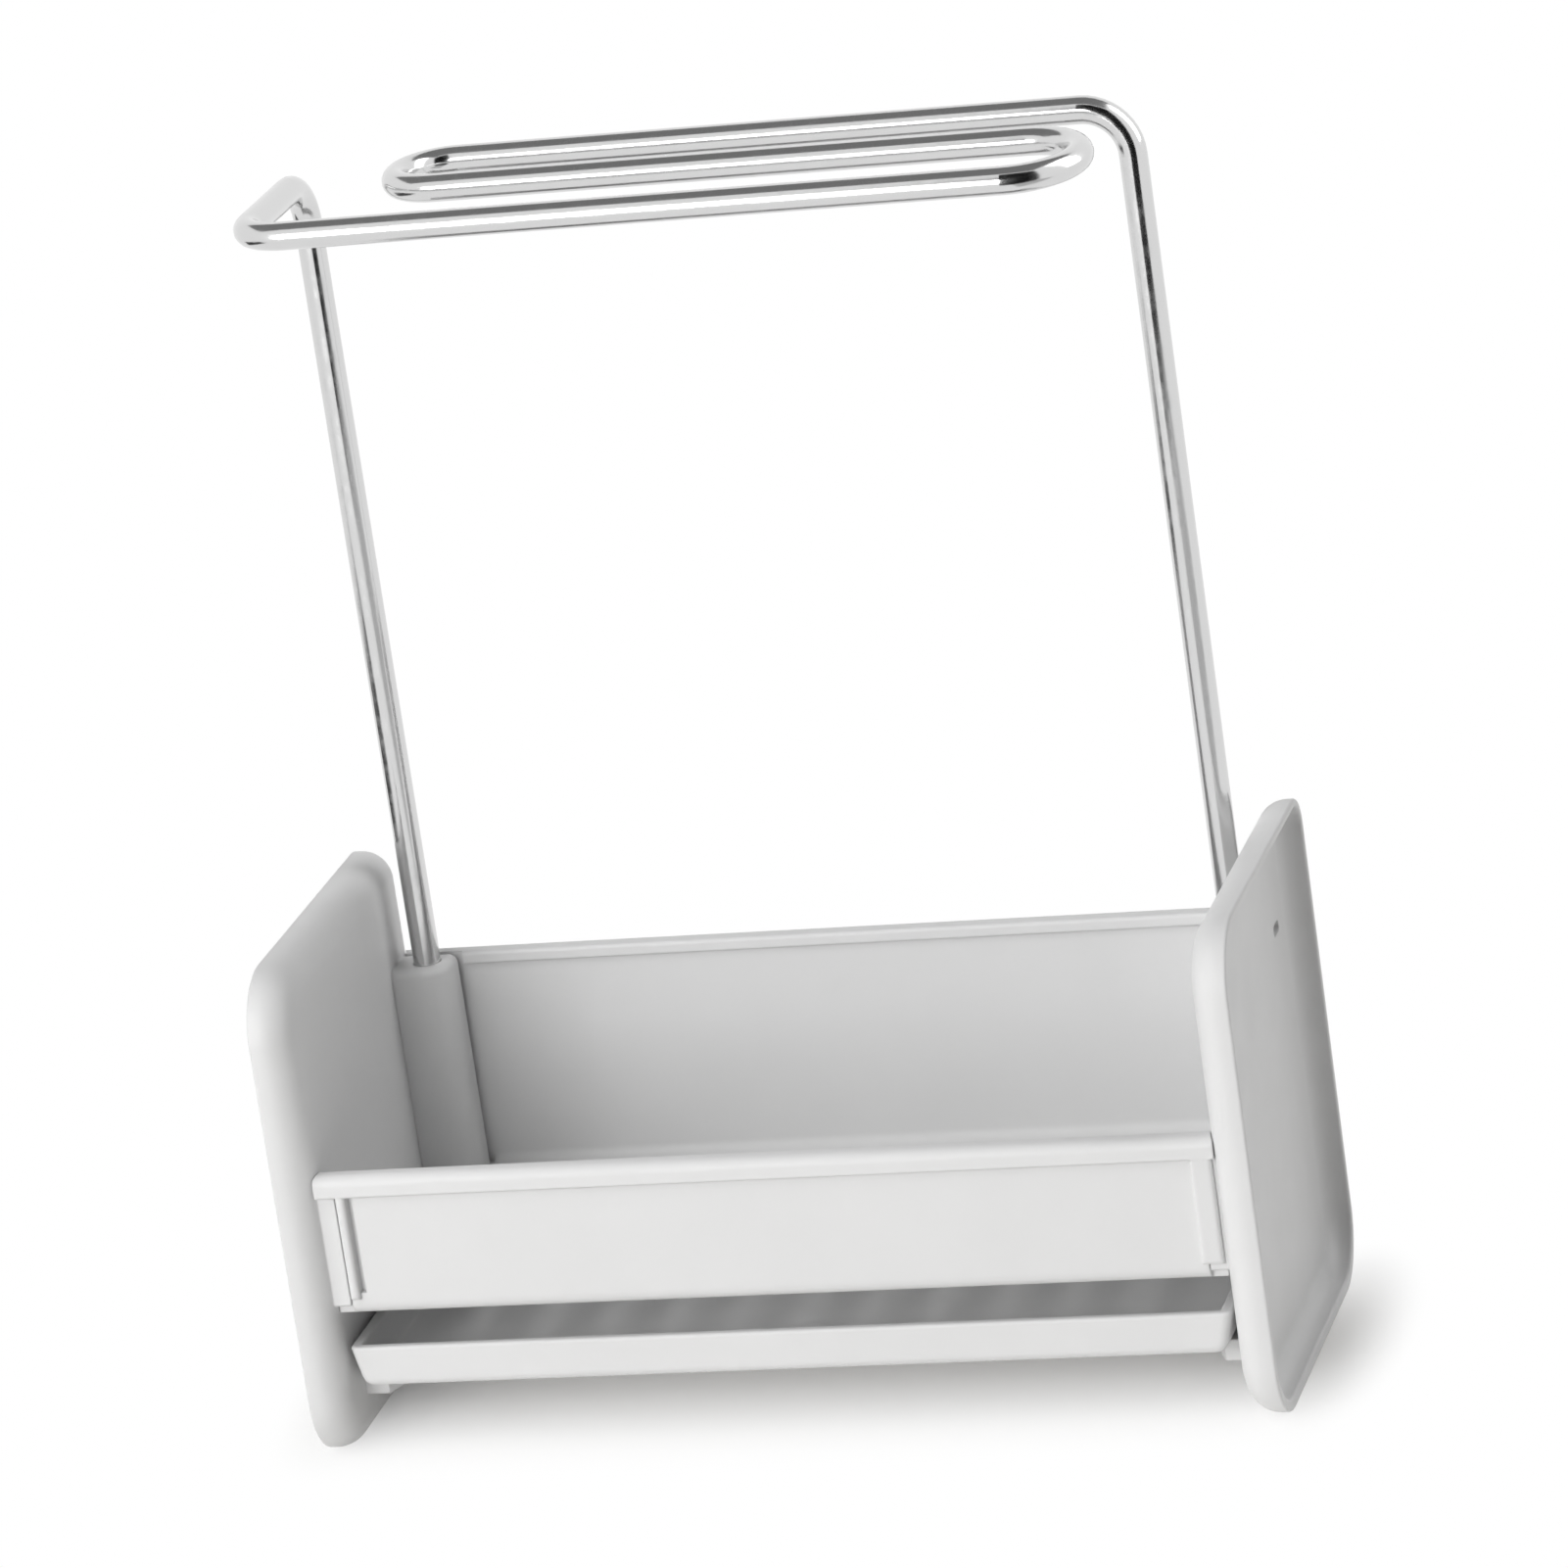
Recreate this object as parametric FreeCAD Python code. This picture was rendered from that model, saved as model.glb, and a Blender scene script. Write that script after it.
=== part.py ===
"""Sink caddy that holds sponges over a drip tray, with a wire rack for dish cloths.

Two end panels carry everything: a draining trough is held between them, a drip
tray slides on their runners, and the rack stands in their two leg sockets.
Lengths are millimetres. X runs to the right, Y to the back and Z up, and the
origin is on the worktop under the middle of the caddy.
"""
import FreeCAD
import Part
import math
import os

from FreeCAD import Vector

# Whole caddy
overall_width = 176.0
overall_depth = 76.0

# Fits between the pieces
seat_clearance = 0.15
slide_clearance = 0.3
leg_clearance = 0.08
cut_overrun = 2.0
plane_tolerance = 0.0001

# End panels, dished on the outside and rounded towards the trough
panel_height = 91.7
panel_thickness = 7.0
panel_skin = 2.6
panel_rim = 1.5
panel_foot_rim = 2.2
panel_corner_radius = 12.0
panel_rear_top_radius = 6.2
panel_inner_round = 5.5
panel_edge_round = 0.4
gate_mark_length = 4.6
gate_mark_height = 2.1
gate_mark_depth = 1.6
gate_mark_setback = 13.0
gate_mark_drop = 1.1

# Leg sockets, moulded on the end panels
socket_diameter = 9.4
socket_inset = 5.7
socket_setback = 9.8
socket_depth = 35.0
socket_edge_round = 1.6
socket_rear_round = 1.8

# Rails and ledges on the end panels that hold the trough
rail_width = 2.9
rail_thickness = 1.2
rail_foot = 2.0
rear_rail_thickness = 1.6
ledge_width = 4.0
ledge_length = 24.0
ledge_thickness = 2.4

# Runners on the end panels that carry the drip tray
runner_width = 8.5
runner_nose_width = 4.4
runner_lead = 10.0
runner_setback = 12.0
runner_height = 4.0
stop_thickness = 2.2
stop_height = 4.6
stop_width = 5.0

# Trough for the sponges
trough_height = 27.5
trough_wall = 2.6
trough_floor = 2.5
trough_outer_round = 2.6
trough_inner_round = 2.0
front_wall_setback = 3.5
front_wall_rise = 26.8
lip_depth = 4.8
lip_height = 4.0
lip_overhang = 1.0
lip_round = 2.0
lip_end_reach = 0.4
back_wall_rise = 43.8
rim_end_gap = 0.7
rim_height = 2.3
rim_overhang = 0.8
rim_round = 0.7
right_rib_width = 4.0
left_rib_width = 1.8
left_rib_gap = 0.3
rib_proud = 0.95
rib_foot = 3.3
rib_round = 0.75
left_groove_width = 1.1
left_groove_depth = 1.2
left_groove_rise = 1.1
slot_width = 3.5
slot_length = 44.0
slot_pitch = 12.0
slot_end_margin = 12.0

# Drip tray
tray_side_gap = 0.6
tray_front_setback = 4.5
tray_rear_setback = 5.5
tray_headroom = 6.5
tray_height = 7.7
tray_wall = 1.8
tray_floor = 1.8
tray_end_draft = 1.8
tray_corner_radius = 2.4
tray_edge_round = 1.6
tray_rim_round = 0.5

# Cloth rack, bent from one wire
wire_diameter = 5.0
bend_radius = 8.5
back_bar_rise = 149.5
middle_bar_drop = 0.4
front_bar_drop = 1.4
middle_bar_reach = 17.9
front_bar_reach = 39.8
front_turn_inset = 2.8
back_turn_inset = 20.8
leg_tip_chamfer = 0.6

# Places that follow from the sizes
inner_face = overall_width / 2 - panel_thickness
front_edge = -overall_depth / 2
rear_edge = overall_depth / 2
embed = panel_skin / 2
dish_round = panel_inner_round - panel_rim - panel_edge_round

floor_top = trough_height + trough_floor
lip_top = trough_height + front_wall_rise
lip_bottom = lip_top - lip_height
trough_top = trough_height + back_wall_rise
rim_bottom = trough_top - rim_height
rib_bottom = trough_height + rib_foot
trough_half = inner_face - seat_clearance
trough_reach = inner_face + lip_end_reach
trough_front = front_edge + front_wall_setback
front_wall_back = trough_front + trough_wall
lip_front = trough_front - lip_overhang
lip_back = lip_front + lip_depth

socket_radius = socket_diameter / 2
leg_x = inner_face - socket_inset
leg_y = rear_edge - socket_setback
socket_top = trough_top
socket_bottom = floor_top + seat_clearance
bore_bottom = socket_top - socket_depth
back_wall_face = leg_y + socket_radius + seat_clearance
trough_rear = back_wall_face + trough_wall
rim_front = back_wall_face - rim_overhang

rail_inner = inner_face - rail_width
right_wall_end = rail_inner - seat_clearance
left_wall_end = rail_inner - left_rib_gap
left_rib_inner = left_wall_end - left_rib_width
slot_count = int(2 * (trough_half - slot_end_margin) / slot_pitch) + 1

tray_half = inner_face - tray_side_gap
tray_front = front_edge + tray_front_setback
tray_rear = rear_edge - tray_rear_setback
tray_top = trough_height - tray_headroom
tray_bottom = tray_top - tray_height
runner_top = tray_bottom - slide_clearance
runner_bottom = runner_top - runner_height
stop_face = tray_rear + slide_clearance


def rounded_wire(corners, radii):
    """Closed wire through the corners, each rounded to its own radius."""
    spans = []
    for index, (corner, radius) in enumerate(zip(corners, radii)):
        back = (corners[index - 1] - corner).normalize()
        ahead = (corners[(index + 1) % len(corners)] - corner).normalize()
        half_angle = back.getAngle(ahead) / 2
        reach = radius / math.tan(half_angle)
        inward = (back + ahead).normalize()
        middle = corner + inward * (radius / math.sin(half_angle) - radius)
        spans.append((corner + back * reach, middle, corner + ahead * reach))
    edges = []
    last = spans[-1][2]
    for start, middle, end in spans:
        if last.distanceToPoint(start) > plane_tolerance:
            edges.append(Part.LineSegment(last, start).toShape())
        if start.distanceToPoint(end) > plane_tolerance:
            edges.append(Part.Arc(start, middle, end).toShape())
        last = end
    return Part.Wire(edges)


def prism(corners, radii, travel):
    """Solid swept straight from a rounded outline."""
    return Part.Face(rounded_wire(corners, radii)).extrude(travel)


def block(low, high):
    """Square-cornered block between two opposite corners."""
    size = high - low
    return Part.makeBox(size.x, size.y, size.z, low)


def mirrored(shape):
    """The same shape on the other side of the caddy's middle plane."""
    return shape.mirror(Vector(0, 0, 0), Vector(1, 0, 0))


def edges_in_plane(shape, normal, place):
    """Edges that lie wholly in the plane at a place along a unit normal."""
    found = []
    for edge in shape.Edges:
        halfway = edge.valueAt((edge.FirstParameter + edge.LastParameter) / 2)
        points = [vertex.Point for vertex in edge.Vertexes] + [halfway]
        if all(abs(point.dot(normal) - place) < plane_tolerance for point in points):
            found.append(edge)
    return found


def panel_profile(offset, foot, place, travel):
    """Side view of an end panel, drawn in by an offset, above its foot, and swept along X."""
    front = front_edge + offset
    rear = rear_edge - offset
    top = panel_height - offset
    corners = [
        Vector(place, front, foot),
        Vector(place, rear, foot),
        Vector(place, rear, top),
        Vector(place, front, top),
    ]
    corner_radius = panel_corner_radius - offset
    rear_top_radius = panel_rear_top_radius - offset
    radii = [corner_radius, corner_radius, rear_top_radius, corner_radius]
    return prism(corners, radii, Vector(travel, 0, 0))


def panel_shell():
    """Right end panel alone: rounded towards the trough and dished outside."""
    shell = panel_profile(0, 0, inner_face, panel_thickness)
    shell = shell.makeFillet(panel_inner_round, edges_in_plane(shell, Vector(1, 0, 0), inner_face))
    dish_floor = inner_face + panel_skin
    dish_depth = panel_thickness - panel_skin
    dish = panel_profile(panel_rim, panel_foot_rim, dish_floor, dish_depth + cut_overrun)
    dish = dish.makeFillet(dish_round, edges_in_plane(dish, Vector(1, 0, 0), dish_floor))
    shell = shell.cut(dish)
    rim_edges = edges_in_plane(shell, Vector(1, 0, 0), inner_face + panel_thickness)
    return shell.makeFillet(panel_edge_round, rim_edges)


def panel_room():
    """Room for the right end panel, with the seat's clearance, at the trough's end."""
    face = inner_face - seat_clearance
    room = panel_profile(-seat_clearance, -seat_clearance, face, panel_thickness + cut_overrun)
    room_round = panel_inner_round + seat_clearance
    return room.makeFillet(room_round, edges_in_plane(room, Vector(1, 0, 0), face))


def leg_socket():
    """Blind upright socket that grows from the right panel and takes a rack leg."""
    root = inner_face + embed
    corners = [
        Vector(root, leg_y - socket_radius, socket_bottom),
        Vector(root, leg_y + socket_radius, socket_bottom),
        Vector(leg_x - socket_radius, leg_y + socket_radius, socket_bottom),
        Vector(leg_x - socket_radius, leg_y - socket_radius, socket_bottom),
    ]
    radii = [0, 0, socket_rear_round, socket_radius]
    socket = prism(corners, radii, Vector(0, 0, socket_top - socket_bottom))
    top_edges = edges_in_plane(socket, Vector(0, 0, 1), socket_top)
    rounded = [edge for edge in top_edges if edge.CenterOfMass.x < inner_face]
    return socket.makeFillet(socket_edge_round, rounded)


def leg_bore():
    """Room for one rack leg in its socket."""
    radius = wire_diameter / 2 + leg_clearance
    return Part.makeCylinder(radius, socket_depth + cut_overrun, Vector(leg_x, leg_y, bore_bottom))


def trough_rails():
    """Front rail, rear rail and ledge that hold one end of the trough."""
    front_rail = block(
        Vector(rail_inner, trough_front, trough_height + rail_foot),
        Vector(inner_face + embed, trough_front + rail_thickness, lip_bottom - seat_clearance),
    )
    rear_rail_front = trough_rear + seat_clearance
    rear_rail = block(
        Vector(rail_inner, rear_rail_front, trough_height + rail_foot),
        Vector(inner_face + panel_skin, rear_rail_front + rear_rail_thickness, rim_bottom),
    )
    ledge_top = trough_height - seat_clearance
    ledge = block(
        Vector(inner_face - ledge_width, trough_rear - ledge_length, ledge_top - ledge_thickness),
        Vector(inner_face + embed, trough_rear, ledge_top),
    )
    return [front_rail, rear_rail, ledge]


def tray_runner():
    """Ledge with a tapered nose that carries one end of the tray, and its stop."""
    root = inner_face + embed
    nose = front_edge + runner_setback
    tail = stop_face + stop_thickness
    corners = [
        Vector(root, nose, runner_bottom),
        Vector(root, tail, runner_bottom),
        Vector(inner_face - runner_width, tail, runner_bottom),
        Vector(inner_face - runner_width, nose + runner_lead, runner_bottom),
        Vector(inner_face - runner_nose_width, nose, runner_bottom),
    ]
    runner = prism(corners, [0] * len(corners), Vector(0, 0, runner_height))
    stop = block(
        Vector(inner_face - stop_width, stop_face, runner_bottom),
        Vector(root, tail, runner_top + stop_height),
    )
    return [runner, stop]


def gate_mark():
    """Small oblong dimple in the dish, a little lower than the top of the socket."""
    place = inner_face + panel_skin - gate_mark_depth
    front = rear_edge - gate_mark_setback - gate_mark_length / 2
    rear = front + gate_mark_length
    bottom = socket_top - gate_mark_drop - gate_mark_height / 2
    top = bottom + gate_mark_height
    corners = [
        Vector(place, front, bottom),
        Vector(place, rear, bottom),
        Vector(place, rear, top),
        Vector(place, front, top),
    ]
    radii = [gate_mark_height / 2] * len(corners)
    return prism(corners, radii, Vector(gate_mark_depth + cut_overrun, 0, 0))


def end_panel():
    """Right end panel in one piece with its socket, rails, ledge and runner."""
    panel = panel_shell().fuse([leg_socket()] + trough_rails() + tray_runner())
    return panel.removeSplitter().cut([leg_bore(), gate_mark()])


def trough_body():
    """Trough swept along X from its section, overlong, with a lip and a rim."""
    section = [
        (trough_front, trough_height, trough_outer_round),
        (trough_rear, trough_height, trough_outer_round),
        (trough_rear, trough_top, rim_round),
        (rim_front, trough_top, rim_round),
        (rim_front, rim_bottom, 0),
        (back_wall_face, rim_bottom, 0),
        (back_wall_face, floor_top, trough_inner_round),
        (front_wall_back, floor_top, trough_inner_round),
        (front_wall_back, lip_bottom, 0),
        (lip_back, lip_bottom, 0),
        (lip_back, lip_top, lip_round),
        (lip_front, lip_top, lip_round),
        (lip_front, lip_bottom, 0),
        (trough_front, lip_bottom, 0),
    ]
    corners = [Vector(-trough_reach, y, z) for y, z, radius in section]
    radii = [radius for y, z, radius in section]
    return prism(corners, radii, Vector(2 * trough_reach, 0, 0))


def drain_slots():
    """Row of slots through the trough's floor."""
    middle_y = (front_wall_back + back_wall_face) / 2
    low = trough_height - cut_overrun
    slots = []
    for index in range(slot_count):
        middle_x = (index - (slot_count - 1) / 2) * slot_pitch
        left = middle_x - slot_width / 2
        right = middle_x + slot_width / 2
        front = middle_y - slot_length / 2
        rear = middle_y + slot_length / 2
        corners = [
            Vector(left, front, low),
            Vector(right, front, low),
            Vector(right, rear, low),
            Vector(left, rear, low),
        ]
        radii = [slot_width / 2] * len(corners)
        slots.append(prism(corners, radii, Vector(0, 0, trough_floor + 2 * cut_overrun)))
    return slots


def end_reliefs(wall_end):
    """Cuts at the trough's right end that clear the panel and its socket and front rail."""
    beyond = trough_reach + cut_overrun
    socket_relief = block(
        Vector(leg_x - socket_radius - rim_end_gap, rim_front - cut_overrun, floor_top),
        Vector(beyond, back_wall_face, trough_top + cut_overrun),
    )
    rail_back = trough_front + rail_thickness + seat_clearance
    rail_relief = block(
        Vector(wall_end, trough_front - cut_overrun, trough_height - cut_overrun),
        Vector(beyond, rail_back, lip_bottom),
    )
    return [panel_room(), socket_relief, rail_relief]


def end_rib(rib_outer, rib_width):
    """Upright rib at the right end of the front wall, clear of the panel's rail."""
    front = trough_front - rib_proud
    rib = block(
        Vector(rib_outer - rib_width, front, rib_bottom),
        Vector(rib_outer, trough_front + trough_wall / 2, lip_bottom + lip_height / 2),
    )
    front_edges = edges_in_plane(rib, Vector(0, 1, 0), front)
    rounded = [edge for edge in front_edges if edge.CenterOfMass.z < lip_bottom]
    rail_room = block(
        Vector(right_wall_end, trough_front - seat_clearance, rib_bottom - cut_overrun),
        Vector(inner_face, trough_rear, lip_bottom),
    )
    return rib.makeFillet(rib_round, rounded).cut(rail_room)


def left_groove():
    """Upright groove in the front wall beside its left rib."""
    return block(
        Vector(-left_rib_inner, trough_front - cut_overrun, rib_bottom + left_groove_rise),
        Vector(left_groove_width - left_rib_inner, trough_front + left_groove_depth, lip_bottom),
    )


def trough():
    """Draining trough, which covers the right rail and stands clear of the left one."""
    right_reliefs = end_reliefs(right_wall_end)
    left_reliefs = [mirrored(relief) for relief in end_reliefs(left_wall_end)]
    body = trough_body().cut(right_reliefs + left_reliefs + [left_groove()] + drain_slots())
    right_rib = end_rib(trough_half, right_rib_width)
    left_rib = mirrored(end_rib(left_wall_end, left_rib_width))
    return body.fuse([right_rib, left_rib]).removeSplitter()


def tray_form(inset, bottom, radius, top, front, rear):
    """Tray shape with leaning ends, drawn in from the outside by an inset."""
    half_top = tray_half - inset
    half_bottom = half_top - tray_end_draft
    corners = [
        Vector(-half_top, front, top),
        Vector(-half_bottom, front, bottom),
        Vector(half_bottom, front, bottom),
        Vector(half_top, front, top),
    ]
    return prism(corners, [0, radius, radius, 0], Vector(0, rear - front, 0))


def drip_tray():
    """Shallow tray that slides out to the front on the panels' runners."""
    outside = tray_form(0, tray_bottom, tray_corner_radius, tray_top, tray_front, tray_rear)
    ends = edges_in_plane(outside, Vector(0, 1, 0), tray_front)
    ends += edges_in_plane(outside, Vector(0, 1, 0), tray_rear)
    rounded = [edge for edge in ends if edge.CenterOfMass.z < tray_top - plane_tolerance]
    outside = outside.makeFillet(tray_edge_round, rounded)
    hollow = tray_form(
        tray_wall,
        tray_bottom + tray_floor,
        tray_corner_radius - tray_wall,
        tray_top + tray_floor,
        tray_front + tray_wall,
        tray_rear - tray_wall,
    )
    tray = outside.cut(hollow)
    return tray.makeFillet(tray_rim_round, edges_in_plane(tray, Vector(0, 0, 1), tray_top))


def bend(corner, arriving, leaving):
    """Quarter bend of the wire at a corner between two unit directions."""
    start = corner - arriving * bend_radius
    end = corner + leaving * bend_radius
    centre = start + leaving * bend_radius
    middle = centre + (arriving - leaving).normalize() * bend_radius
    return [start, middle, end]


def half_turn(start, end, outward):
    """Half turn of the wire that bulges towards a unit direction."""
    radius = start.distanceToPoint(end) / 2
    middle = (start + end) / 2 + outward * radius
    return [start, middle, end]


def cloth_rack():
    """Rack bent from one wire: leg, arm, three bars joined by half turns, leg."""
    right = Vector(1, 0, 0)
    back = Vector(0, 1, 0)
    up = Vector(0, 0, 1)
    back_z = socket_top + back_bar_rise
    middle_z = back_z - middle_bar_drop
    front_z = back_z - front_bar_drop
    middle_y = leg_y - middle_bar_reach
    front_y = leg_y - front_bar_reach
    front_turn_x = leg_x - front_turn_inset - (middle_y - front_y) / 2
    back_turn_x = back_turn_inset - leg_x + (leg_y - middle_y) / 2
    tip_z = bore_bottom + slide_clearance

    arcs = [
        bend(Vector(-leg_x, leg_y, front_z), up, -back),
        bend(Vector(-leg_x, front_y, front_z), -back, right),
        half_turn(Vector(front_turn_x, front_y, front_z), Vector(front_turn_x, middle_y, middle_z), right),
        half_turn(Vector(back_turn_x, middle_y, middle_z), Vector(back_turn_x, leg_y, back_z), -right),
        bend(Vector(leg_x, leg_y, back_z), right, -up),
    ]
    left_tip = Vector(-leg_x, leg_y, tip_z)
    right_tip = Vector(leg_x, leg_y, tip_z)
    edges = []
    last = left_tip
    for start, middle, end in arcs:
        edges.append(Part.LineSegment(last, start).toShape())
        edges.append(Part.Arc(start, middle, end).toShape())
        last = end
    edges.append(Part.LineSegment(last, right_tip).toShape())
    path = Part.Wire(edges)
    section = Part.Wire(Part.makeCircle(wire_diameter / 2, left_tip, up))
    wire = path.makePipeShell([section], True, False)
    return wire.makeChamfer(leg_tip_chamfer, edges_in_plane(wire, up, tip_z))


def save(name, shape):
    """Write one piece to its own file and say how large it is."""
    shape.exportStep(os.path.join("parts", name + ".step"))
    print(name, "solids", len(shape.Solids), "valid", shape.isValid(), "volume", round(shape.Volume, 1))


def main():
    os.makedirs("parts", exist_ok=True)
    right_panel = end_panel()
    save("right_end_panel", right_panel)
    save("left_end_panel", mirrored(right_panel))
    save("sponge_trough", trough())
    save("drip_tray", drip_tray())
    save("cloth_rack", cloth_rack())


main()
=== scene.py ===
"""Looks of the sink caddy: moulded grey plastic, chromed wire and a white studio.

Laid out as an add-on and run as a script. The CAD nodes keep their shapes and
places and get their finishes here. Lengths are metres unless a name says mm.
"""
import math

import bpy
from bpy.props import FloatProperty, FloatVectorProperty, PointerProperty
from mathutils import Matrix, Vector


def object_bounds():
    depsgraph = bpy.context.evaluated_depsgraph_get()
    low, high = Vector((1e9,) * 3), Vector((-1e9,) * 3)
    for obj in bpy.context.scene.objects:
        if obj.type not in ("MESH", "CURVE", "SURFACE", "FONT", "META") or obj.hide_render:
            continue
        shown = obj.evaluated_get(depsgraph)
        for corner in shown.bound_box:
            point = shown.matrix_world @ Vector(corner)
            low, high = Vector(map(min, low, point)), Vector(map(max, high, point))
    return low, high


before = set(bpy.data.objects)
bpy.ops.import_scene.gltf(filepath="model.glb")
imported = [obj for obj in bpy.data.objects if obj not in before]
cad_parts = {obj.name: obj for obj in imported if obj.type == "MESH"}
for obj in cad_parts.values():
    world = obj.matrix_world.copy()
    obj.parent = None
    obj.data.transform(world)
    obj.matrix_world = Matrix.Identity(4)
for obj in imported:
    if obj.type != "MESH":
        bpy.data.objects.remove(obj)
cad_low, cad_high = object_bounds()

bl_info = {
    "name": "Sink Caddy Looks",
    "version": (1, 0, 0),
    "blender": (4, 5, 0),
    "location": "View3D > Sidebar > Caddy",
    "description": "Finishes the sink caddy's mouldings and wire rack and sets its stage",
    "category": "Object",
}

millimetre = 0.001
pure_white = (1, 1, 1, 1)
up, down, rear = (0, 0, 1), (0, 0, -1), (0, 1, 0)


def linear(hex_colour):
    """Scene-linear red, green and blue of an sRGB hex colour."""
    channels = [int(hex_colour[place:place + 2], 16) / 255 for place in (1, 3, 5)]
    return [c / 12.92 if c <= 0.04045 else ((c + 0.055) / 1.055) ** 2.4 for c in channels]


def per_metre(feature_mm):
    """Texture scale that makes one feature about so many millimetres wide."""
    return 1 / (feature_mm * millimetre)


def add_node(tree, kind, settings=(), links=()):
    """Add a node, set its properties and sockets, and link sockets to sources."""
    node = tree.nodes.new(kind)
    for key, value in dict(settings).items():
        if isinstance(key, int) or key in node.inputs:
            node.inputs[key].default_value = value
        else:
            setattr(node, key, value)
    for key, source in dict(links).items():
        tree.links.new(source, node.inputs[key])
    return node


def empty_material(name):
    """New material with its output alone."""
    material = bpy.data.materials.new(name)
    material.use_nodes = True
    material.node_tree.nodes.clear()
    output = add_node(material.node_tree, "ShaderNodeOutputMaterial")
    return material, material.node_tree, output


class CaddyFinishSettings(bpy.types.PropertyGroup):
    """Colours and surface sizes of the caddy's plastic and wire."""

    plastic_colour: FloatVectorProperty(
        name="Plastic", description="Pale grey of the mouldings",
        subtype="COLOR", size=3, min=0, max=1, default=linear("#E0E0E0"))
    cloud_colour: FloatVectorProperty(
        name="Flow Clouds", description="Slightly deeper grey where the melt cooled first",
        subtype="COLOR", size=3, min=0, max=1, default=linear("#DEDEDE"))
    # Paler edge colour: partly rubbing wear, partly a painted highlight along every edge
    rubbed_and_highlight_colour: FloatVectorProperty(
        name="Rubbed and Highlit Edges", description="Paler grey painted on the edges as a highlight and where hands have polished them",
        subtype="COLOR", size=3, min=0, max=1, default=linear("#E6E6E6"))
    cloud_mm: FloatProperty(
        name="Cloud Size", description="Width of the flow clouds in millimetres",
        default=24, min=1, max=100)
    sheen_mm: FloatProperty(
        name="Sheen Size", description="Width of the duller and brighter patches in millimetres",
        default=7, min=1, max=100)
    grain_mm: FloatProperty(
        name="Grain", description="Width of the moulded grain in millimetres",
        default=0.6, min=0.1, max=3)
    grain_depth_mm: FloatProperty(
        name="Grain Depth", description="Depth of the moulded grain in millimetres",
        default=0.03, min=0, max=0.5)
    # This radius rounds the shading at the edges and sets the width of their painted highlight
    edge_round_mm: FloatProperty(
        name="Edge Round Width", description="Radius of the rounded edges and of their painted highlight in millimetres",
        default=0.6, min=0, max=3)
    chrome_colour: FloatVectorProperty(
        name="Chrome", description="Tint of the plated wire",
        subtype="COLOR", size=3, min=0, max=1, default=linear("#D6D6D6"))
    spot_mm: FloatProperty(
        name="Spot Size", description="Width of the dried water spots in millimetres",
        default=3, min=0.5, max=20)
    wave_mm: FloatProperty(
        name="Wave Length", description="Length of the waves along the drawn wire in millimetres",
        default=9, min=1, max=50)
    wave_depth_mm: FloatProperty(
        name="Wave Depth", description="Depth of the waves along the drawn wire in millimetres",
        default=0.1, min=0, max=0.5)


class CaddyStageSettings(bpy.types.PropertyGroup):
    """Floor, light and camera around the caddy."""

    floor_colour: FloatVectorProperty(
        name="Floor", description="Pale floor under the caddy",
        subtype="COLOR", size=3, min=0, max=1, default=linear("#F6F5F3"))
    floor_size: FloatProperty(
        name="Floor Size", description="Side of the square floor",
        subtype="DISTANCE", unit="LENGTH", default=12)
    floor_lift: FloatProperty(
        name="Floor Lift", description="White added to the floor where it is seen",
        default=0.1, min=0, max=1)
    shadow_line: FloatProperty(
        name="Shadow Line", description="Place along Y under the caddy where its shadow is kept in full",
        subtype="DISTANCE", unit="LENGTH", default=0.003)
    fade_depth: FloatProperty(
        name="Fade along Y", description="Distance over which the floor turns white from the shadow line",
        subtype="DISTANCE", unit="LENGTH", default=0.049)
    fade_side: FloatProperty(
        name="Fade to the Sides", description="Distance over which the floor turns white beside the caddy",
        subtype="DISTANCE", unit="LENGTH", default=0.017)
    lamp_distance: FloatProperty(
        name="Lamp Distance", description="From the caddy to each lamp",
        subtype="DISTANCE", unit="LENGTH", default=1.4)
    lamp_aim_height: FloatProperty(
        name="Lamp Aim", description="Height on the caddy that the lamps face",
        subtype="DISTANCE", unit="LENGTH", default=0.08)
    camera_azimuth: FloatProperty(
        name="Azimuth", description="Camera's turn to the right of the front",
        subtype="ANGLE", unit="ROTATION", default=math.radians(16.19))
    camera_elevation: FloatProperty(
        name="Elevation", description="Camera's height above the horizon",
        subtype="ANGLE", unit="ROTATION", default=math.radians(17.643))
    camera_roll: FloatProperty(
        name="Roll", description="Camera's turn about its own axis",
        subtype="ANGLE", unit="ROTATION", default=math.radians(8.34))
    camera_distance: FloatProperty(
        name="Distance", description="From the camera to the point that it looks at",
        subtype="DISTANCE", unit="LENGTH", default=1.48778)
    camera_aim: FloatVectorProperty(
        name="Aim", description="Point at the middle of the picture",
        subtype="XYZ", unit="LENGTH", size=3, default=(0.004465, 0.001395, 0.110297))
    camera_lens: FloatProperty(
        name="Lens", description="Focal length in millimetres on a 36 mm sensor",
        default=194.35, min=1)


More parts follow.
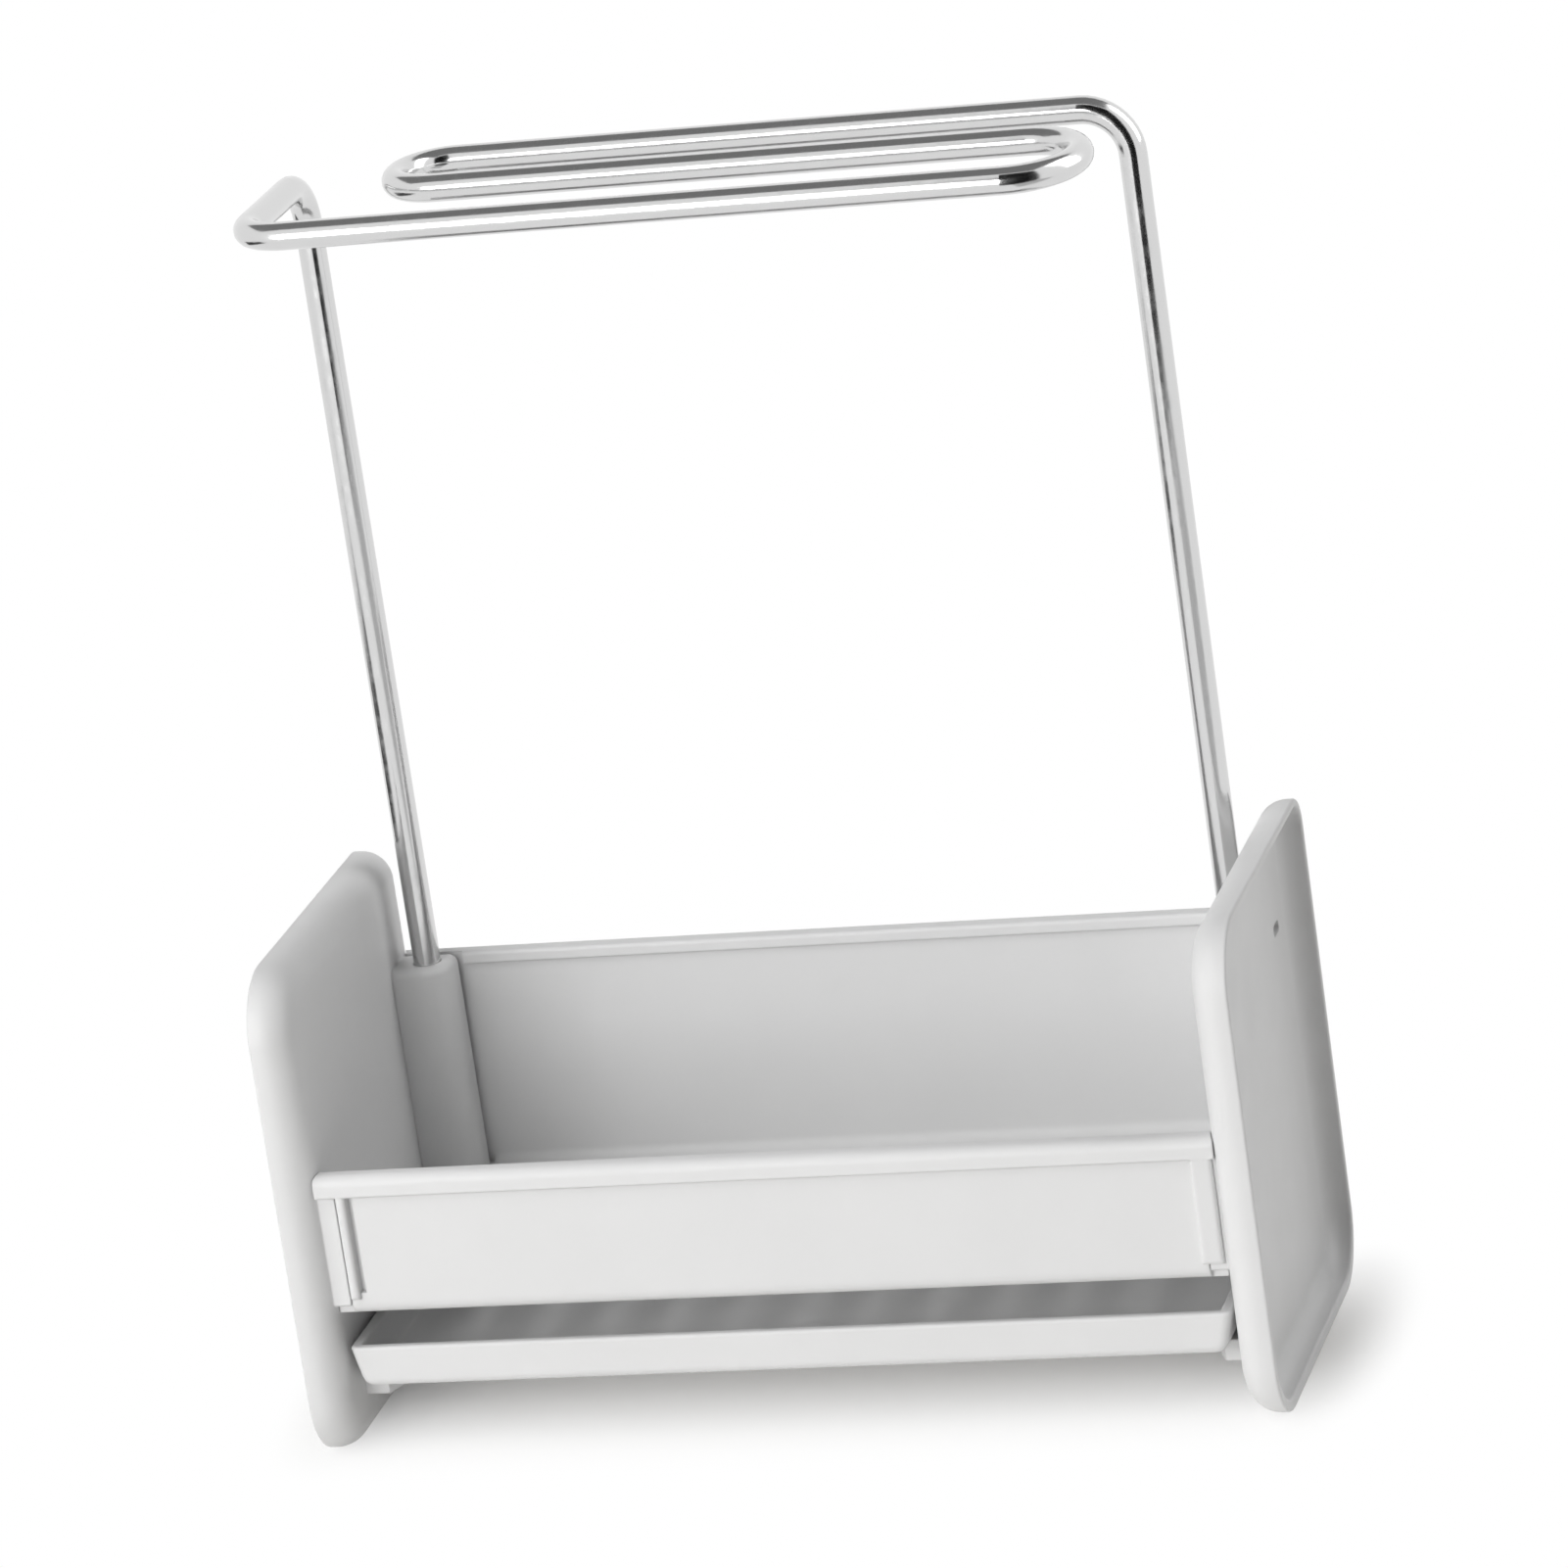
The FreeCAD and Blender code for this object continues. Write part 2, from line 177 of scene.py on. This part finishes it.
def moulded_plastic(name, finish):
    """Light grey polypropylene, moulded against a finely spark-eroded steel tool.

    The eye sees an even pale grey with a broad soft sheen, a fine grain, faint
    clouds where the melt flowed, and edges a little paler and smoother, paler
    partly from hands rubbing them and partly from a painted highlight.
    """
    material, tree, output = empty_material(name)
    place = add_node(tree, "ShaderNodeTexCoord").outputs["Object"]
    clouds = add_node(
        tree, "ShaderNodeTexNoise",
        {"Scale": per_metre(finish.cloud_mm), "Detail": 3.0, "Roughness": 0.55}, {"Vector": place})
    cloud_share = add_node(
        tree, "ShaderNodeMapRange",
        {"From Min": 0.35, "From Max": 0.7}, {"Value": clouds.outputs["Fac"]})
    rounded = add_node(
        tree, "ShaderNodeBevel", {"samples": 4, "Radius": finish.edge_round_mm * millimetre})
    surface = add_node(tree, "ShaderNodeNewGeometry")
    turned = add_node(
        tree, "ShaderNodeVectorMath", {"operation": "DOT_PRODUCT"},
        {0: rounded.outputs["Normal"], 1: surface.outputs["Normal"]})
    # Share of the paler colour on the edges: a painted edge highlight as well as rubbing wear
    edge_highlight_share = add_node(
        tree, "ShaderNodeMapRange",
        {"From Min": 0.995, "From Max": 0.8, "To Max": 0.7}, {"Value": turned.outputs["Value"]})
    mottled = add_node(
        tree, "ShaderNodeMix",
        {"data_type": "RGBA", 6: (*finish.plastic_colour, 1), 7: (*finish.cloud_colour, 1)},
        {0: cloud_share.outputs["Result"]})
    # Paler grey painted onto the edges, standing in for their highlight as well as for wear
    rubbed_and_highlight = add_node(
        tree, "ShaderNodeMix",
        {"data_type": "RGBA", 7: (*finish.rubbed_and_highlight_colour, 1)},
        {0: edge_highlight_share.outputs["Result"], 6: mottled.outputs[2]})
    sheen_patches = add_node(
        tree, "ShaderNodeTexNoise",
        {"Scale": per_metre(finish.sheen_mm), "Detail": 4.0}, {"Vector": place})
    roughness = add_node(
        tree, "ShaderNodeMapRange",
        {"From Min": 0.3, "From Max": 0.7, "To Min": 0.4, "To Max": 0.52},
        {"Value": sheen_patches.outputs["Fac"]})
    grain = add_node(
        tree, "ShaderNodeTexNoise",
        {"Scale": per_metre(finish.grain_mm), "Detail": 2.0}, {"Vector": place})
    # The tool's grain is near 0.1 mm and is drawn several times coarser so that it shows
    grained = add_node(
        tree, "ShaderNodeBump",
        {"Strength": 0.25, "Distance": finish.grain_depth_mm * millimetre},
        {"Height": grain.outputs["Fac"], "Normal": rounded.outputs["Normal"]})
    skin = add_node(
        tree, "ShaderNodeBsdfPrincipled", {"IOR": 1.49, "Specular IOR Level": 0.45},
        {"Base Color": rubbed_and_highlight.outputs[2], "Roughness": roughness.outputs["Result"],
         "Normal": grained.outputs["Normal"]})
    tree.links.new(skin.outputs["BSDF"], output.inputs["Surface"])
    return material


def chromed_wire(name, finish):
    """Drawn steel wire with bright chrome plate.

    The eye sees a slightly soft mirror with bright and dark lines along the
    wire, which waver a very little with the drawn surface, and faint dried
    water spots.
    """
    material, tree, output = empty_material(name)
    place = add_node(tree, "ShaderNodeTexCoord").outputs["Object"]
    spots = add_node(
        tree, "ShaderNodeTexNoise",
        {"Scale": per_metre(finish.spot_mm), "Detail": 3.0}, {"Vector": place})
    roughness = add_node(
        tree, "ShaderNodeMapRange",
        {"From Min": 0.45, "From Max": 0.75, "To Min": 0.14, "To Max": 0.24},
        {"Value": spots.outputs["Fac"]})
    waves = add_node(
        tree, "ShaderNodeTexNoise",
        {"Scale": per_metre(finish.wave_mm), "Detail": 1.0}, {"Vector": place})
    drawn = add_node(
        tree, "ShaderNodeBump",
        {"Strength": 0.015, "Distance": finish.wave_depth_mm * millimetre},
        {"Height": waves.outputs["Fac"]})
    plate = add_node(
        tree, "ShaderNodeBsdfPrincipled",
        {"Base Color": (*finish.chrome_colour, 1), "Metallic": 1.0},
        {"Roughness": roughness.outputs["Result"], "Normal": drawn.outputs["Normal"]})
    tree.links.new(plate.outputs["BSDF"], output.inputs["Surface"])
    return material


def dress(node_name, material):
    """Give a CAD node its finish through its material slots."""
    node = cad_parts[node_name]
    for slot in node.material_slots:
        slot.material = material


class CADDY_OT_finish_end_panels(bpy.types.Operator):
    """Finish both end panels in moulded plastic"""

    bl_idname = "caddy.finish_end_panels"
    bl_label = "Finish End Panels"

    def execute(self, context):
        plastic = moulded_plastic("Panel Moulded Polypropylene", context.scene.caddy_finish)
        dress("left_end_panel", plastic)
        dress("right_end_panel", plastic)
        return {"FINISHED"}


class CADDY_OT_finish_sponge_trough(bpy.types.Operator):
    """Finish the sponge trough in moulded plastic"""

    bl_idname = "caddy.finish_sponge_trough"
    bl_label = "Finish Sponge Trough"

    def execute(self, context):
        dress("sponge_trough", moulded_plastic("Trough Moulded Polypropylene", context.scene.caddy_finish))
        return {"FINISHED"}


class CADDY_OT_finish_drip_tray(bpy.types.Operator):
    """Finish the drip tray in moulded plastic"""

    bl_idname = "caddy.finish_drip_tray"
    bl_label = "Finish Drip Tray"

    def execute(self, context):
        dress("drip_tray", moulded_plastic("Tray Moulded Polypropylene", context.scene.caddy_finish))
        return {"FINISHED"}


class CADDY_OT_finish_cloth_rack(bpy.types.Operator):
    """Finish the cloth rack in chromed wire"""

    bl_idname = "caddy.finish_cloth_rack"
    bl_label = "Finish Cloth Rack"

    def execute(self, context):
        dress("cloth_rack", chromed_wire("Chromed Steel Wire", context.scene.caddy_finish))
        return {"FINISHED"}


def seen_directly(tree):
    """One for camera, glossy and transmission rays, and zero for light that bounces."""
    rays = add_node(tree, "ShaderNodeLightPath")
    mirrored = add_node(
        tree, "ShaderNodeMath", {"operation": "MAXIMUM"},
        {0: rays.outputs["Is Camera Ray"], 1: rays.outputs["Is Glossy Ray"]})
    seen = add_node(
        tree, "ShaderNodeMath", {"operation": "MAXIMUM"},
        {0: mirrored.outputs["Value"], 1: rays.outputs["Is Transmission Ray"]})
    return seen.outputs["Value"]


def set_world():
    """Surroundings that look white where they are seen and give the caddy no light."""
    world = bpy.data.worlds.new("Studio Surroundings")
    world.use_nodes = True
    tree = world.node_tree
    tree.nodes.clear()
    output = add_node(tree, "ShaderNodeOutputWorld")
    white = add_node(
        tree, "ShaderNodeBackground", {"Color": pure_white}, {"Strength": seen_directly(tree)})
    tree.links.new(white.outputs["Background"], output.inputs["Surface"])
    bpy.context.scene.world = world


def beyond_shadow(tree, stage):
    """How far the floor is from the line that keeps the shadow, in lengths of its fade."""
    middle = ((cad_low[0] + cad_high[0]) / 2, stage.shadow_line, 0)
    half = ((cad_high[0] - cad_low[0]) / 2, 0, 0)
    fade = (stage.fade_side, stage.fade_depth, 1)
    moves = (
        {"operation": "SUBTRACT", 1: middle},
        {"operation": "ABSOLUTE"},
        {"operation": "SUBTRACT", 1: half},
        {"operation": "MAXIMUM", 1: (0, 0, 0)},
        {"operation": "DIVIDE", 1: fade},
    )
    place = add_node(tree, "ShaderNodeTexCoord").outputs["Object"]
    for move in moves:
        place = add_node(tree, "ShaderNodeVectorMath", move, {0: place}).outputs["Vector"]
    return add_node(tree, "ShaderNodeVectorMath", {"operation": "LENGTH"}, {0: place}).outputs["Value"]


def lay_floor(stage):
    """Pale floor that keeps the caddy's shadow and turns white further out."""
    bpy.ops.mesh.primitive_plane_add(size=stage.floor_size)
    floor = bpy.context.object
    floor.name = "Studio Floor"
    material, tree, output = empty_material("Pale Studio Floor")
    seen = seen_directly(tree)
    matt = add_node(tree, "ShaderNodeBsdfDiffuse", {"Color": (*stage.floor_colour, 1)})
    lift_strength = add_node(
        tree, "ShaderNodeMath", {"operation": "MULTIPLY", 1: stage.floor_lift}, {0: seen})
    lift = add_node(
        tree, "ShaderNodeEmission", {"Color": pure_white},
        {"Strength": lift_strength.outputs["Value"]})
    near = add_node(
        tree, "ShaderNodeAddShader", (),
        {0: matt.outputs["BSDF"], 1: lift.outputs["Emission"]})
    far_share = add_node(
        tree, "ShaderNodeMapRange",
        {"interpolation_type": "SMOOTHSTEP"}, {"Value": beyond_shadow(tree, stage)})
    far_seen = add_node(
        tree, "ShaderNodeMath", {"operation": "MULTIPLY"},
        {0: far_share.outputs["Result"], 1: seen})
    white = add_node(tree, "ShaderNodeEmission", {"Color": pure_white, "Strength": 1.0})
    shown = add_node(
        tree, "ShaderNodeMixShader", (),
        {0: far_seen.outputs["Value"], 1: near.outputs["Shader"], 2: white.outputs["Emission"]})
    tree.links.new(shown.outputs["Shader"], output.inputs["Surface"])
    floor.data.materials.append(material)


def towards(turn, rise):
    """Unit direction at a turn to the right of the front and a rise, in radians."""
    return Vector((
        math.sin(turn) * math.cos(rise), -math.cos(turn) * math.cos(rise), math.sin(rise)))


def hang_lamp(name, stage, turn, rise, size, watts, mirrored=True):
    """Soft rectangular lamp that faces the caddy, seen in mirrors at most.

    The turn to the right of the front and the rise are in degrees.
    """
    away = towards(math.radians(turn), math.radians(rise))
    place = Vector((0, 0, stage.lamp_aim_height)) + away * stage.lamp_distance
    bpy.ops.object.light_add(
        type="AREA", location=place, rotation=away.to_track_quat("Z", "Y").to_euler())
    lamp = bpy.context.object
    lamp.name = name
    lamp.data.shape = "RECTANGLE"
    lamp.data.size, lamp.data.size_y = size
    lamp.data.energy = watts
    lamp.visible_camera = False
    lamp.visible_glossy = mirrored


def hang_card(name, place, facing, size, grey):
    """Grey card that shows in mirrors alone and takes no light from the caddy."""
    bpy.ops.mesh.primitive_plane_add(
        size=1, location=place, rotation=Vector(facing).to_track_quat("Z", "Y").to_euler())
    card = bpy.context.object
    card.name = name
    card.scale = (*size, 1)
    material, tree, output = empty_material(name)
    shade = add_node(tree, "ShaderNodeEmission", {"Color": (grey, grey, grey, 1), "Strength": 1.0})
    tree.links.new(shade.outputs["Emission"], output.inputs["Surface"])
    card.data.materials.append(material)
    card.visible_camera = False
    card.visible_diffuse = False
    card.visible_transmission = False
    card.visible_shadow = False


def set_camera(stage):
    """Camera at the photograph's viewing angle."""
    back = towards(stage.camera_azimuth, stage.camera_elevation)
    level = Vector((math.cos(stage.camera_azimuth), math.sin(stage.camera_azimuth), 0))
    upright = back.cross(level)
    right = level * math.cos(stage.camera_roll) - upright * math.sin(stage.camera_roll)
    top = level * math.sin(stage.camera_roll) + upright * math.cos(stage.camera_roll)
    facing = Matrix((right, top, back)).transposed()
    place = Vector(stage.camera_aim) + back * stage.camera_distance
    bpy.ops.object.camera_add(location=place, rotation=facing.to_euler())
    camera = bpy.context.object
    camera.name = "Studio Camera"
    camera.data.lens = stage.camera_lens
    bpy.context.scene.camera = camera


class CADDY_OT_set_stage(bpy.types.Operator):
    """Lay the floor, hang the lamps and cards and place the camera"""

    bl_idname = "caddy.set_stage"
    bl_label = "Set Stage"

    def execute(self, context):
        stage = context.scene.caddy_stage
        set_world()
        lay_floor(stage)
        hang_lamp("Key Lamp", stage, turn=-45, rise=43, size=(1.0, 1.7), watts=14.4, mirrored=False)
        hang_lamp("Front Lamp", stage, turn=-15, rise=12, size=(0.8, 0.8), watts=9)
        hang_lamp("Right Lamp", stage, turn=105, rise=35, size=(0.8, 1.4), watts=7.1)
        hang_lamp("Back Lamp", stage, turn=180, rise=12, size=(1.2, 0.6), watts=7, mirrored=False)
        hang_card("Ceiling Card", place=(-0.25, 0.16, 1.02), facing=down, size=(1.4, 1.12), grey=0.22)
        hang_card("Front Card", place=(0.22, -0.37, 0.2), facing=rear, size=(0.4, 0.3), grey=0.01)
        hang_card("High Card", place=(0.19, -0.37, 0.6), facing=rear, size=(0.46, 0.5), grey=0.01)
        hang_card("Left Card", place=(-0.43, -0.08, 0.002), facing=up, size=(0.18, 0.36), grey=0.06)
        hang_card("Right Card", place=(0.3, -0.32, 0.002), facing=up, size=(0.4, 0.3), grey=0.56)
        set_camera(stage)
        context.scene.view_settings.view_transform = "Standard"
        return {"FINISHED"}


class VIEW3D_PT_caddy(bpy.types.Panel):
    """Settings and steps of the caddy's looks"""

    bl_label = "Sink Caddy"
    bl_space_type = "VIEW_3D"
    bl_region_type = "UI"
    bl_category = "Caddy"

    def draw(self, context):
        for group in (context.scene.caddy_finish, context.scene.caddy_stage):
            for setting in group.__annotations__:
                self.layout.prop(group, setting)
        for step in steps:
            self.layout.operator(step.bl_idname)


steps = (
    CADDY_OT_finish_end_panels,
    CADDY_OT_finish_sponge_trough,
    CADDY_OT_finish_drip_tray,
    CADDY_OT_finish_cloth_rack,
    CADDY_OT_set_stage,
)
classes = (CaddyFinishSettings, CaddyStageSettings, *steps, VIEW3D_PT_caddy)


def register():
    for kind in classes:
        bpy.utils.register_class(kind)
    bpy.types.Scene.caddy_finish = PointerProperty(type=CaddyFinishSettings)
    bpy.types.Scene.caddy_stage = PointerProperty(type=CaddyStageSettings)


def unregister():
    del bpy.types.Scene.caddy_stage
    del bpy.types.Scene.caddy_finish
    for kind in reversed(classes):
        bpy.utils.unregister_class(kind)


def main():
    register()
    bpy.ops.object.select_all(action="DESELECT")
    bpy.ops.caddy.finish_end_panels()
    bpy.ops.caddy.finish_sponge_trough()
    bpy.ops.caddy.finish_drip_tray()
    bpy.ops.caddy.finish_cloth_rack()
    bpy.ops.caddy.set_stage()


if __name__ == "__main__":
    main()
